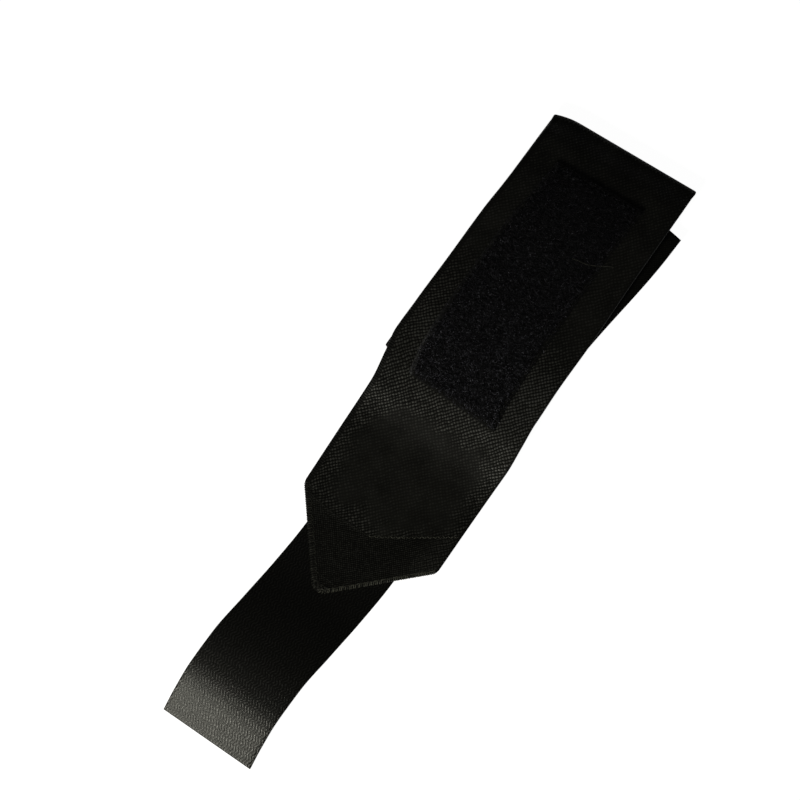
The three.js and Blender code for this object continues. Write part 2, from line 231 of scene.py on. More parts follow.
def makePiece(name, verts, faces, material, uv=None, marks=None):
    # verts are in mm and uncentred; faces are rows of three or four indices
    mesh = bpy.data.meshes.new(name)
    points = (np.asarray(verts, float).reshape(-1, 3) + shiftBy) * mm
    faces = [np.asarray(block) for block in (faces if isinstance(faces, list) else [faces])]
    loops = np.concatenate([block.ravel() for block in faces])
    sizes = np.concatenate([np.full(len(block), block.shape[1]) for block in faces])
    mesh.vertices.add(len(points))
    mesh.vertices.foreach_set("co", points.ravel())
    mesh.loops.add(len(loops))
    mesh.loops.foreach_set("vertex_index", loops.astype(np.int32))
    mesh.polygons.add(len(sizes))
    mesh.polygons.foreach_set("loop_start", np.concatenate([[0], np.cumsum(sizes)[:-1]]).astype(np.int32))
    mesh.polygons.foreach_set("use_smooth", np.ones(len(sizes), bool))
    if uv is not None:
        layer = mesh.uv_layers.new(name="cloth")
        layer.data.foreach_set("uv", np.asarray(uv, float).reshape(-1, 2)[loops].ravel())
    for markName, values in (marks or {}).items():
        pointMark = mesh.attributes.new(markName, "FLOAT", "POINT")
        pointMark.data.foreach_set("value", np.asarray(values, np.float32).ravel())
    mesh.update()
    mesh.validate()
    piece = bpy.data.objects.new(name, mesh)
    bpy.context.scene.collection.objects.link(piece)
    mesh.materials.append(material)
    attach(piece, "root")
    return piece


def quads(a, b, c, d):
    return np.stack([a.ravel(), b.ravel(), c.ravel(), d.ravel()], 1)


def clothShell(grid, above, below):
    # a closed sheet: the grid pushed out along its normals both ways, walled round its rim
    normal = gridNormals(grid)
    top = grid + normal * above[..., None]
    bottom = grid - normal * below[..., None]
    rows, columns = grid.shape[:2]
    index = np.arange(rows * columns).reshape(rows, columns)
    under = index + rows * columns
    faces = np.concatenate([
        quads(index[:-1, :-1], index[:-1, 1:], index[1:, 1:], index[1:, :-1]),
        quads(under[:-1, :-1], under[1:, :-1], under[1:, 1:], under[:-1, 1:]),
        quads(index[:-1, 0], index[1:, 0], under[1:, 0], under[:-1, 0]),
        quads(index[:-1, -1], under[:-1, -1], under[1:, -1], index[1:, -1]),
        quads(index[0, :-1], under[0, :-1], under[0, 1:], index[0, 1:]),
        quads(index[-1, :-1], index[-1, 1:], under[-1, 1:], under[-1, :-1])])
    return np.concatenate([top.reshape(-1, 3), bottom.reshape(-1, 3)]), faces


def bothFaces(values):
    # what a cloth's points carry, once for its upper face and once for its lower one
    flat = values.reshape(values.shape[0] * values.shape[1], -1)
    return np.concatenate([flat, flat])


def runLength(points):
    # the length from the first point of a line to each of its points
    return np.concatenate([[0], np.cumsum(np.linalg.norm(np.diff(points, axis=0), axis=1))])


def tubes(paths, radius, sides):
    # round threads: rings of points about each path's own direction, pinched shut at both ends
    paths = np.asarray(paths, float)
    count, steps = paths.shape[:2]
    radius = np.broadcast_to(np.asarray(radius, float), (count, steps))
    along = np.gradient(paths, axis=1)
    along /= np.maximum(np.linalg.norm(along, axis=2, keepdims=True), 1e-9)
    aside = np.where(np.abs(along[..., 2:3]) > 0.9, [1.0, 0, 0], [0, 0, 1.0])
    first = np.cross(along, aside)
    first /= np.maximum(np.linalg.norm(first, axis=2, keepdims=True), 1e-9)
    second = np.cross(along, first)
    angle = np.arange(sides) * 2 * math.pi / sides
    ring = (np.cos(angle)[None, None, :, None] * first[:, :, None]
            + np.sin(angle)[None, None, :, None] * second[:, :, None])
    verts = paths[:, :, None] + ring * radius[:, :, None, None]
    index = np.arange(count * steps * sides).reshape(count, steps, sides)
    after = np.roll(index, -1, axis=2)
    walls = np.stack([index[:, :-1], after[:, :-1], after[:, 1:], index[:, 1:]], -1).reshape(-1, 4)
    ends = np.concatenate([index[:, 0, ::-1], index[:, -1]])
    return verts.reshape(-1, 3), [walls, ends]


# Helpers for materials: each returns a node or the socket that carries its result.


def addNode(tree, kind, inputs=None, **settings):
    node = tree.nodes.new(kind)
    for key, value in settings.items():
        setattr(node, key, value)
    for key, value in (inputs or {}).items():
        if isinstance(value, bpy.types.NodeSocket):
            tree.links.new(value, node.inputs[key])
        else:
            node.inputs[key].default_value = value
    return node


def calc(tree, operation, a, b=0.0, c=0.0):
    return addNode(tree, "ShaderNodeMath", {0: a, 1: b, 2: c}, operation=operation).outputs[0]


def calcVector(tree, operation, a, b):
    return addNode(tree, "ShaderNodeVectorMath", {0: a, 1: b}, operation=operation).outputs[0]


def scaleAndAdd(tree, value, scale, add):
    return calc(tree, "MULTIPLY_ADD", value, scale, add)


def mix(tree, share, first, second):
    return addNode(tree, "ShaderNodeMix", {0: share, 2: first, 3: second}).outputs[0]


def mixColours(tree, share, first, second):
    return addNode(tree, "ShaderNodeMix", {0: share, 6: first, 7: second}, data_type="RGBA").outputs[2]


def remap(tree, value, low, high, toLow=0.0, toHigh=1.0, soft=False):
    # low to high becomes toLow to toHigh, held at both ends
    inputs = {0: value, 1: low, 2: high, 3: toLow, 4: toHigh}
    kind = "SMOOTHSTEP" if soft else "LINEAR"
    return addNode(tree, "ShaderNodeMapRange", inputs, interpolation_type=kind).outputs[0]


def cosineWave(tree, turns):
    # a half plus half the cosine: 1 on each whole turn and 0 halfway to the next
    return scaleAndAdd(tree, calc(tree, "COSINE", calc(tree, "MULTIPLY", turns, 2 * math.pi)), 0.5, 0.5)


def disturb(tree, place, cloth, scale, detail, amount):
    # a place moved by the colour of a noise on the cloth, less a half, times the amount
    noise = addNode(tree, "ShaderNodeTexNoise", {"Vector": cloth, "Scale": scale, "Detail": detail})
    offset = calcVector(tree, "SUBTRACT", noise.outputs["Color"], (0.5, 0.5, 0.5))
    inputs = {0: offset, "Scale": amount}
    offset = addNode(tree, "ShaderNodeVectorMath", inputs, operation="SCALE").outputs[0]
    return calcVector(tree, "ADD", place, offset)


def mark(tree, name):
    # a value that the mesh carries at its points
    return addNode(tree, "ShaderNodeAttribute", attribute_name=name).outputs["Fac"]


def clothPlace(tree):
    # the flat cloth's own map in mm, along it and across it
    return addNode(tree, "ShaderNodeUVMap", uv_map="cloth").outputs[0]


def useGroup(tree, group, **inputs):
    named = {key[0].upper() + key[1:]: value for key, value in inputs.items()}
    return addNode(tree, "ShaderNodeGroup", named, node_tree=group).outputs


def newGroup(name, inputs, outputs):
    # inputs are names with their first values, None for a vector; outputs are numbers
    group = bpy.data.node_groups.new(name, "ShaderNodeTree")
    for label, value in inputs.items():
        kind = "NodeSocketVector" if value is None else "NodeSocketFloat"
        socket = group.interface.new_socket(name=label, in_out="INPUT", socket_type=kind)
        if value is not None:
            socket.default_value = value
    for label in outputs:
        group.interface.new_socket(name=label, in_out="OUTPUT", socket_type="NodeSocketFloat")
    return group, group.nodes.new("NodeGroupInput").outputs, group.nodes.new("NodeGroupOutput").inputs


def knotWeaveGroup():
    # raised knots in offset rows: the product of two diagonal cosine ridges, slightly disturbed,
    # and a random number for each knot
    group, given, out = newGroup(
        "knotWeave", {"Cloth": None, "PitchAlong": 2.2, "PitchAcross": 1.95, "Disturb": 0.6},
        ["Height", "Knot"])
    place = given["Cloth"]
    for scale, share in ((0.7, 1.0), (0.16, 2.5)):
        amount = calc(group, "MULTIPLY", given["Disturb"], share)
        place = disturb(group, place, given["Cloth"], scale, 1.0, amount)
    parts = addNode(group, "ShaderNodeSeparateXYZ", {0: place}).outputs
    along = calc(group, "DIVIDE", parts[0], given["PitchAlong"])
    across = calc(group, "DIVIDE", parts[1], given["PitchAcross"])
    ridges, cells = [], []
    for sign, power in (("ADD", 0.5), ("SUBTRACT", 1.0)):
        diagonal = calc(group, sign, along, across)
        ridges.append(calc(group, "POWER", cosineWave(group, diagonal), power))
        cells.append(calc(group, "ROUND", diagonal))
    cell = addNode(group, "ShaderNodeCombineXYZ", {0: cells[0], 1: cells[1]}).outputs[0]
    each = addNode(group, "ShaderNodeTexWhiteNoise", {"Vector": cell}, noise_dimensions="2D")
    group.links.new(calc(group, "MULTIPLY", ridges[0], ridges[1]), out["Height"])
    group.links.new(each.outputs["Value"], out["Knot"])
    return group


def herringboneGroup():
    # lengthwise ribs that swing left and right: a cosine across, shifted by a sine wave along,
    # broken into dashes by a noise that is squeezed across the cloth
    group, given, out = newGroup(
        "herringbone", {"Cloth": None, "RibPitch": 1.56, "SwingLength": 4.85, "SwingSlope": 0.55},
        ["Height", "Fibre"])
    place = disturb(group, given["Cloth"], given["Cloth"], 0.7, 2.0, 0.6)
    parts = addNode(group, "ShaderNodeSeparateXYZ", {0: place}).outputs
    turn = calc(group, "MULTIPLY", calc(group, "DIVIDE", parts[0], given["SwingLength"]), 2 * math.pi)
    reach = calc(group, "MULTIPLY", given["SwingLength"], 0.2)
    swing = calc(group, "MULTIPLY", calc(group, "SINE", turn), reach)
    shifted = calc(group, "ADD", parts[1], calc(group, "MULTIPLY", swing, given["SwingSlope"]))
    ribs = cosineWave(group, calc(group, "DIVIDE", shifted, given["RibPitch"]))
    squeezed = calcVector(group, "MULTIPLY", given["Cloth"], (1.0, 2.1, 1.0))
    inputs = {"Vector": squeezed, "Scale": 1.0, "Detail": 1.5, "Roughness": 0.6}
    fibres = addNode(group, "ShaderNodeTexNoise", inputs).outputs["Fac"]
    dashes = remap(group, fibres, 0.36, 0.6, 0.2, 1.0)
    group.links.new(calc(group, "MULTIPLY", ribs, dashes), out["Height"])
    group.links.new(fibres, out["Fibre"])
    return group


def wovenRibsGroup():
    # even ribs: a cosine wave of the given pitch over a distance
    group, given, out = newGroup("wovenRibs", {"Distance": 0.0, "Pitch": 1.0}, ["Height"])
    turns = calc(group, "DIVIDE", given["Distance"], given["Pitch"])
    group.links.new(cosineWave(group, turns), out["Height"])
    return group


def threadFuzzGroup():
    # a thread's tone broken up by its fibres: the tone times a fine noise
    group, given, out = newGroup("threadFuzz", {"Place": None, "Tone": 0.5, "Fineness": 2500.0},
                                 ["Shade", "Height"])
    inputs = {"Vector": given["Place"], "Scale": given["Fineness"], "Detail": 2.0}
    fuzz = addNode(group, "ShaderNodeTexNoise", inputs).outputs["Fac"]
    fibres = remap(group, fuzz, 0.35, 0.65, 0.25, 1.6)
    group.links.new(calc(group, "MULTIPLY", given["Tone"], fibres), out["Shade"])
    group.links.new(fuzz, out["Height"])
    return group


knotWeave = knotWeaveGroup()
herringbone = herringboneGroup()
wovenRibs = wovenRibsGroup()
threadFuzz = threadFuzzGroup()


def newMaterial(name, roughness, specular, sheen=0.0):
    material = bpy.data.materials.new(name)
    material.use_nodes = True
    tree = material.node_tree
    tree.nodes.clear()
    shader = addNode(tree, "ShaderNodeBsdfPrincipled")
    shader.inputs["Roughness"].default_value = roughness
    shader.inputs["Specular IOR Level"].default_value = specular
    # the cloth's short fuzz catches light only at a grazing angle
    shader.inputs["Sheen Weight"].default_value = sheen
    shader.inputs["Sheen Roughness"].default_value = 0.2
    shader.inputs["Sheen Tint"].default_value = (1.0, 1.0, 0.94, 1)
    addNode(tree, "ShaderNodeOutputMaterial", {"Surface": shader.outputs[0]})
    return material, tree, shader


def bump(tree, shader, height, distance, strength=1.0):
    inputs = {"Height": height, "Distance": distance, "Strength": strength}
    normal = addNode(tree, "ShaderNodeBump", inputs).outputs[0]
    tree.links.new(normal, shader.inputs["Normal"])
    tree.links.new(normal, shader.inputs["Coat Normal"])


def addGloss(tree, shader, amount, look):
    # the gloss that varies over a cloth is its coat's weight
    tree.links.new(calc(tree, "MULTIPLY", amount, look["gloss"]), shader.inputs["Coat Weight"])
    shader.inputs["Coat Roughness"].default_value = look["glossRoughness"]
    shader.inputs["Coat IOR"].default_value = look["glossIor"]


bandLook = {
    "dark": (0.0045, 0.0045, 0.0041, 1), "light": (0.045, 0.045, 0.0395, 1),
    "roughness": 0.49, "gloss": 0.52, "glossRoughness": 0.49, "glossIor": 2.0, "sheen": 0.3,
    "relief": 0.0001, "fineAlong": 1.45, "fineAcross": 1.3, "fineDisturb": 0.4, "wearScale": 0.08,
    "selvedge": (0.009, 0.009, 0.0085, 1), "selvedgeCover": 0.7, "selvedgePitch": 1.2,
    "selvedgeRelief": 0.4, "selvedgeLeft": 2.4, "selvedgeRight": 0.9,
    "knotContrast": (1.1, 0.45), "highlightGain": 0.8, "pressedAndShadedShare": 0.8, "facingShare": 0.7,
    "creaseGlossShade": 0.7, "creaseRough": 0.35, "flatRough": 0.1,
}


def bandMaterial():
    material, tree, shader = newMaterial("bandWeave", bandLook["roughness"], 0.0, bandLook["sheen"])
    cloth = clothPlace(tree)
    edge, facing, pressedAndShaded = mark(tree, "edgeGap"), mark(tree, "facing"), mark(tree, "pressedAndShaded")
    paintedHighlight, crease = mark(tree, "paintedHighlight"), mark(tree, "crease")
    parts = addNode(tree, "ShaderNodeSeparateXYZ", {0: cloth}).outputs
    # the tab is of a finer weave
    weave = useGroup(tree, knotWeave, cloth=cloth)
    fine = useGroup(tree, knotWeave, cloth=cloth, pitchAlong=bandLook["fineAlong"],
                    pitchAcross=bandLook["fineAcross"], disturb=bandLook["fineDisturb"])
    # the selvedge is wider on the left than on the right
    width = remap(tree, parts[1], -1.0, 1.0, bandLook["selvedgeLeft"], bandLook["selvedgeRight"])
    onEdge = remap(tree, calc(tree, "SUBTRACT", edge, width), -0.3, 0.5, 1.0, 0.0, soft=True)
    ribs = useGroup(tree, wovenRibs, distance=parts[0], pitch=bandLook["selvedgePitch"])[0]
    height = mix(tree, facing, weave[0], fine[0])
    height = mix(tree, onEdge, height, calc(tree, "MULTIPLY", ribs, bandLook["selvedgeRelief"]))
    inputs = {"Vector": cloth, "Scale": bandLook["wearScale"], "Detail": 3.0}
    wear = addNode(tree, "ShaderNodeTexNoise", inputs).outputs["Fac"]
    knot = mix(tree, facing, weave[1], fine[1])
    # standingAndLight: how far a point stands out of the gaps between the knots, times its own knot's number;
    # the darker, less glossy gaps are painted shade. A flattened cloth has fewer gaps and the wear's slow
    # clouds instead
    standingAndLight = calc(tree, "MULTIPLY", remap(tree, height, 0.08, 0.85),
                    scaleAndAdd(tree, knot, *bandLook["knotContrast"]))
    standingAndLight = calc(tree, "ADD", standingAndLight, 0.08)
    # the painted highlight over the roll brightens it
    standingAndLight = calc(tree, "MULTIPLY", standingAndLight, scaleAndAdd(tree, paintedHighlight, bandLook["highlightGain"], 1.0))
    # flat: the pressed oblong, and the painted shade towards the fold and on the layers under the outer one
    flat = calc(tree, "MULTIPLY", pressedAndShaded, bandLook["pressedAndShadedShare"])
    standingAndLight = mix(tree, flat, standingAndLight, scaleAndAdd(tree, wear, 0.3, 0.08))
    # the facing mark darkens the tab's finer weave, and on the layers under the outer one it carries painted
    # shade
    standingAndLight = mix(tree, calc(tree, "MULTIPLY", facing, bandLook["facingShare"]), standingAndLight, 0.0)
    shade = calc(tree, "MULTIPLY", standingAndLight, scaleAndAdd(tree, wear, 0.8, 0.6))
    colour = mixColours(tree, shade, bandLook["dark"], bandLook["light"])
    cover = calc(tree, "MULTIPLY", onEdge, bandLook["selvedgeCover"])
    tree.links.new(mixColours(tree, cover, colour, bandLook["selvedge"]), shader.inputs["Base Color"])
    # painted shade: the crease along the fold has its gloss cut
    creaseShaded = scaleAndAdd(tree, crease, -bandLook["creaseGlossShade"], 1.0)
    addGloss(tree, shader, calc(tree, "MULTIPLY", standingAndLight, creaseShaded), bandLook)
    flattest = calc(tree, "MAXIMUM", pressedAndShaded, facing)
    rough = scaleAndAdd(tree, flattest, bandLook["flatRough"], bandLook["roughness"])
    rough = scaleAndAdd(tree, crease, bandLook["creaseRough"], rough)
    tree.links.new(scaleAndAdd(tree, knot, 0.1, rough), shader.inputs["Roughness"])
    flattened = calc(tree, "MAXIMUM", flat, calc(tree, "MULTIPLY", facing, 0.45))
    height = calc(tree, "MULTIPLY", height, scaleAndAdd(tree, flattened, -0.75, 1.0))
    bump(tree, shader, height, bandLook["relief"])
    return material


strapLook = {
    "dark": (0.0033, 0.0033, 0.0029, 1), "light": (0.0065, 0.0065, 0.0056, 1),
    "roughness": 0.5, "relief": 0.00006, "fibreContrast": (0.4, 1.5), "glossContrast": (0.5, 1.6),
    "gloss": 0.445, "glossRoughness": 0.31, "glossIor": 1.7, "sheen": 0.12,
}


def strapMaterial():
    # the ribs are lighter and glossier than the gaps between them
    material, tree, shader = newMaterial("hookTapeBack", strapLook["roughness"], 0.0, strapLook["sheen"])
    weave = useGroup(tree, herringbone, cloth=clothPlace(tree))
    fibre = remap(tree, weave[1], 0.35, 0.7, *strapLook["fibreContrast"])
    shade = calc(tree, "MULTIPLY", weave[0], fibre)
    colour = mixColours(tree, shade, strapLook["dark"], strapLook["light"])
    tree.links.new(colour, shader.inputs["Base Color"])
    rough = remap(tree, shade, 0.0, 1.0, strapLook["roughness"] + 0.08, strapLook["roughness"])
    tree.links.new(rough, shader.inputs["Roughness"])
    addGloss(tree, shader, remap(tree, shade, 0.0, 1.0, *strapLook["glossContrast"]), strapLook)
    bump(tree, shader, weave[0], strapLook["relief"])
    return material


pileLook = {
    "dark": (0.006, 0.006, 0.0073, 1), "light": (0.045, 0.045, 0.055, 1),
    "fibreDark": (0.011, 0.011, 0.0125, 1), "fibreLight": (0.42, 0.42, 0.51, 1),
    "border": (0.014, 0.014, 0.014, 1), "paintedRidgeLight": (0.16, 0.16, 0.17, 1),
    "roughness": 0.75, "specular": 0.1, "sheen": 0.3, "relief": 0.0006, "noiseScale": 0.9, "curlScale": 1.3,
}


def pileMaterial():
    # matted pile: a coarse noise times the nearness to the curls' centres
    material, tree, shader = newMaterial(
        "loopPile", pileLook["roughness"], pileLook["specular"], pileLook["sheen"])
    cloth = clothPlace(tree)
    inputs = {"Vector": cloth, "Scale": pileLook["noiseScale"], "Detail": 5.0, "Roughness": 0.75}
    coarse = addNode(tree, "ShaderNodeTexNoise", inputs).outputs["Fac"]
    inputs = {"Vector": cloth, "Scale": pileLook["curlScale"], "Randomness": 1.0}
    curls = addNode(tree, "ShaderNodeTexVoronoi", inputs, feature="F1").outputs["Distance"]
    height = calc(tree, "MULTIPLY", coarse, calc(tree, "SUBTRACT", 1.0, curls))
    colour = mixColours(tree, remap(tree, height, 0.2, 0.6), pileLook["dark"], pileLook["light"])
    colour = mixColours(tree, mark(tree, "rim"), colour, pileLook["border"])
    # painted highlight on the left border's lit side, broken up by the coarse noise
    ridgeLightShare = calc(tree, "MULTIPLY", mark(tree, "paintedRidgeLight"), remap(tree, coarse, 0.42, 0.62))
    tree.links.new(mixColours(tree, ridgeLightShare, colour, pileLook["paintedRidgeLight"]), shader.inputs["Base Color"])
    bump(tree, shader, height, pileLook["relief"])
    return material


threadLook = {
    # dark and light colour, roughness, specular level
    "sewingThread": ((0.004, 0.004, 0.003, 1), (0.18, 0.18, 0.15, 1), 0.5, 0.3),
    "pileFibre": (pileLook["fibreDark"], pileLook["fibreLight"], 0.55, 0.25),
    "hookPlastic": ((0.01, 0.01, 0.01, 1), (0.04, 0.04, 0.04, 1), 0.35, 0.5),
    "relief": 0.0001, "reliefStrength": 0.6,
}


def threadMaterial(name):
    # the mark "tone" runs from the dark thread colour at 0 to the light one at 1
    dark, light, roughness, specular = threadLook[name]
    material, tree, shader = newMaterial(name, roughness, specular)
    place = addNode(tree, "ShaderNodeTexCoord").outputs["Object"]
    fuzz = useGroup(tree, threadFuzz, place=place, tone=mark(tree, "tone"))
    tree.links.new(mixColours(tree, fuzz["Shade"], dark, light), shader.inputs["Base Color"])
    bump(tree, shader, fuzz["Height"], threadLook["relief"], threadLook["reliefStrength"])
    return material


ribbonLook = {
    "dark": (0.004, 0.004, 0.0035, 1), "light": (0.025, 0.025, 0.02, 1), "roughness": 0.6,
    "specular": 0.25, "relief": 0.0003, "ribPitch": 1.4, "pickPitch": 0.8,
}


def ribbonMaterial():
    # lengthwise ribs times shallower picks across them
    material, tree, shader = newMaterial("loopRibbon", ribbonLook["roughness"], ribbonLook["specular"])
    parts = addNode(tree, "ShaderNodeSeparateXYZ", {0: clothPlace(tree)}).outputs
    ribs = useGroup(tree, wovenRibs, distance=parts[1], pitch=ribbonLook["ribPitch"])[0]
    picks = useGroup(tree, wovenRibs, distance=parts[0], pitch=ribbonLook["pickPitch"])[0]
    height = calc(tree, "MULTIPLY", ribs, scaleAndAdd(tree, picks, 0.4, 0.6))
    colour = mixColours(tree, height, ribbonLook["dark"], ribbonLook["light"])
    tree.links.new(colour, shader.inputs["Base Color"])
    bump(tree, shader, height, ribbonLook["relief"])
    return material


threadGrey = threadMaterial("sewingThread")
pileFibre = threadMaterial("pileFibre")
hookPlastic = threadMaterial("hookPlastic")
print("stage: materials made")

# The elastic band.

bandCloth = {
    "rowStep": 1.5, "bottomStep": 2.4, "innerStep": 2.2, "foldRows": 22, "columns": 30,
    "wave": 0.22, "waveLength": 46.0,
    "edgeInsets": [0.0, 0.12, 0.32, 0.62, 1.05], "edgeShares": [0.3, 0.58, 0.8, 0.94, 1.0],
    "tabRounding": 2.0,                                  # what the rounded corners take off its length
}

# where the cloth lies flat, where a painted highlight brightens it and where painted shade darkens it
bandMarks = {
    # the tab's inner edge: w, y, and over how many mm the tab's finer weave begins
    "seamW": [-39, -20, 0, 20, 39], "seamY": [-222.5, -224.5, -224.0, -212, -199],
    "softW": [-39, -5, 8, 39], "soft": [4.0, 2.0, 0.5, 0.5],
    # the flattened cloth between the tab and the roll: middle, half sizes and lean
    "flatY": -188, "flatW": 1, "flatLong": 30, "flatWide": 33, "flatLean": 0.15, "flatEdge": (0.78, 1.1),
    # where it flattens towards the fold and painted shade darkens it, and where a painted highlight brightens
    # it over the roll
    "foldFlatShade": (-116, -78), "highlightFrom": (-168, -146), "highlightTo": (-126, -100),
    "seamShade": 0.45, "hiddenShade": 0.7, "hiddenPressShade": 0.75,
}


def acrossPlaces(halfWidths, insets, count):
    # columns close to both edges by the insets, the rest spread evenly between
    insets = np.asarray(insets)
    inner = halfWidths[:, None] - insets[-1]
    t = np.linspace(-1, 1, count + 1)[None, :]
    left = -halfWidths[:, None] + insets[None, :-1]
    return np.concatenate([left, inner * t, -left[:, ::-1]], 1)


def roundedShare(columns, shares, headShares, tailShares, rows):
    # the cloth's thickness as a share: it thins towards its sides and towards both of its ends
    fromEdge = np.minimum(np.arange(columns), np.arange(columns)[::-1])
    share = np.tile(np.asarray(shares)[np.minimum(fromEdge, len(shares) - 1)], (rows, 1))
    rowShare = np.ones(rows)
    rowShare[:len(headShares)] = headShares
    rowShare[rows - len(tailShares):] = tailShares
    return np.minimum(share, rowShare[:, None])


def outerWave(y, x):
    # the lying cloth's slight unevenness, none where it is folded or over the strap
    calm = smooth(y, -outer + 30, -outer + 60) * smooth(-y, 10, 24)
    return bandCloth["wave"] * calm * ripple(x, y, 3, bandCloth["waveLength"])


def outerMiddle(y, w):
    # a point of the outer layer's middle surface at any y and w
    y, w = np.broadcast_arrays(np.asarray(y, float), np.asarray(w, float))
    point = acrossGrid(outerLines(y.ravel()), w.reshape(-1, 1)).reshape(y.shape + (3,))
    point[..., 2] += outerWave(point[..., 1], point[..., 0])
    return point


def outerFace(y, w, lift, step=0.25):
    # a point above the outer layer's upper face: its middle plus its normal times half the thickness
    # and the lift, with the normal from the directions across and along
    across = outerMiddle(y, w + step) - outerMiddle(y, w - step)
    along = outerMiddle(y + step, w) - outerMiddle(y - step, w)
    across /= np.linalg.norm(across, axis=-1, keepdims=True)
    along /= np.linalg.norm(along, axis=-1, keepdims=True)
    normal = np.cross(across, along)
    normal /= np.linalg.norm(normal, axis=-1, keepdims=True)
    return outerMiddle(y, w) + normal * (thick / 2 + np.asarray(lift, float)[..., None])


def bandLines():
    # the band's lines from the tab's tip round both folds to the plain end, and how many are outer
    tip, insets, foldRows = -outer, bandCloth["edgeInsets"], bandCloth["foldRows"]
    firstCentre, innerEnd = -thick / 2 - firstRadius, -wrap["innerEndToFold"]
    head = [tip + inset for inset in insets[:-1]]
    tail = [innerEnd - inset for inset in insets[:-1]][::-1]
    rows = int((firstFoldStart - tip) / bandCloth["rowStep"])
    yOuter = np.concatenate([head, np.linspace(tip + insets[-1], firstFoldStart, rows)])
    yBottom = np.linspace(firstCentre - 0.8, secondCentre + 0.8, int(stack / bandCloth["bottomStep"]))
    rows = int(stack / bandCloth["innerStep"])
    yInner = np.concatenate([np.linspace(secondCentre + 0.6, innerEnd - insets[-1], rows), tail])
    lines = np.concatenate([
        outerLines(yOuter),
        foldLines(firstCentre, firstRadius, wrap["firstFoldLean"], 1, 0.0, wrap["firstFoldTurn"], 1.0,
                  foldRows),
        bottomLines(yBottom),
        foldLines(secondCentre, innerRadius, 0.0, -1, wrap["secondFoldDrift"], wrap["secondFoldTurn"], 0.0,
                  foldRows),
        innerLines(yInner)])
    return lines, len(yOuter)


def clothMarks(lines, outerRows, grid, w, along):
    # what the weave reads at each point; a smooth step stands at the border of each stretch
    at, y = bandMarks, grid[..., 1]
    outerRow = (np.arange(len(lines)) < outerRows)[:, None]
    onTab = (lines[:, 1] < -outer + wrap["tabLength"]) & outerRow[:, 0]
    slant = math.cos(math.atan(half / wrap["tabLength"]))
    gap = (lines[:, 4][:, None] - np.abs(w)) * np.where(onTab, slant, 1.0)[:, None]
    gap = np.minimum(gap, (along[-1] - along)[:, None])
    seamY = between(at["seamW"], at["seamY"], w)
    soft = between(at["softW"], at["soft"], w)
    facing = smooth(-(y - seamY), -soft, soft) * outerRow * (1 - 0.6 * smooth(w, 20, 36))
    # a rounded oblong with an uneven rim: the cube root of the sum of its two cubed shares
    long = np.abs((y - at["flatY"] - at["flatLean"] * w) / at["flatLong"])
    wide = np.abs((w - at["flatW"]) / at["flatWide"])
    uneven = 0.13 * ripple(w, y, 9, 17.0) + 0.05 * ripple(w, y, 10, 6.0)
    pressedAndShaded = 1 - smooth((long ** 3 + wide ** 3) ** (1 / 3) + uneven, *at["flatEdge"])
    # painted shade: towards the fold and on the layers under the outer one, the cloth is flattened and
    # darkened
    pressedAndShaded = np.maximum(pressedAndShaded, 0.95 * smooth(y + 0.1 * w, *at["foldFlatShade"]))
    pressedAndShaded = np.where(outerRow, pressedAndShaded, at["hiddenPressShade"])
    # painted highlight: brighter over the roll, where the outer layer falls towards the lamp, and more with
    # w; less of it beside the tab's seam
    paintedHighlight = smooth(y + 0.15 * w, *at["highlightFrom"]) * (1 - smooth(y, *at["highlightTo"])) * (1 + w / 65)
    nearSeam = smooth(seamY - y, -24, -6) * (1 - smooth(seamY - y, -1, 2))
    paintedHighlight = (paintedHighlight - at["seamShade"] * nearSeam) * outerRow
    # painted shade on the layers under the outer one, from a few mm past the first fold
    hiddenPaintedShade = at["hiddenShade"] * smooth(along - along[outerRows - 1], 2, 10)[:, None] * ~outerRow
    hiddenPaintedShade = np.broadcast_to(hiddenPaintedShade, w.shape)
    # crease: the fold and the outer layer just before it, where painted shade cuts the gloss
    crease = np.where(outerRow[:, 0], smooth(lines[:, 1], -9, -2), 0)
    crease[outerRows:outerRows + bandCloth["foldRows"]] = 1
    marks = {"edgeGap": gap, "pressedAndShaded": pressedAndShaded, "crease": np.broadcast_to(crease[:, None], w.shape),
             "paintedHighlight": paintedHighlight}
    marks = {name: bothFaces(values) for name, values in marks.items()}
    # facing: the tab's finer weave, plus painted shade on the layers under the outer one
    marks["facing"] = np.concatenate([(facing + hiddenPaintedShade).ravel(), hiddenPaintedShade.ravel()])
    return marks, onTab


def makeBand():
    # the middle surface of all three layers in one sheet, thickened both ways with rounded rims
    shares = bandCloth["edgeShares"]
    lines, outerRows = bandLines()
    w = acrossPlaces(lines[:, 4], bandCloth["edgeInsets"], bandCloth["columns"])
    grid = acrossGrid(lines, w)
    outerRow = np.arange(len(lines)) < outerRows
    grid[..., 2] += np.where(outerRow[:, None], outerWave(grid[..., 1], grid[..., 0]), 0)
    rows, columns = w.shape
    share = roundedShare(columns, shares, shares[:-1], shares[:-1][::-1], rows)
    verts, faces = clothShell(grid, share * thick / 2, share * thick / 2)
    along = runLength(grid[:, columns // 2])
    marks, onTab = clothMarks(lines, outerRows, grid, w, along)
    cloth = np.stack([np.broadcast_to(along[:, None], w.shape), w / (lines[:, 4][:, None] / half + 1e-6)], -1)
    cloth[onTab, :, 1] = w[onTab]
    band = makePiece("bandCloth", verts, faces, bandMaterial(), bothFaces(cloth), marks)
    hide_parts("elastic_band")
    return band


print("stage: band", len(makeBand().data.polygons), "faces")

# The hook strap.

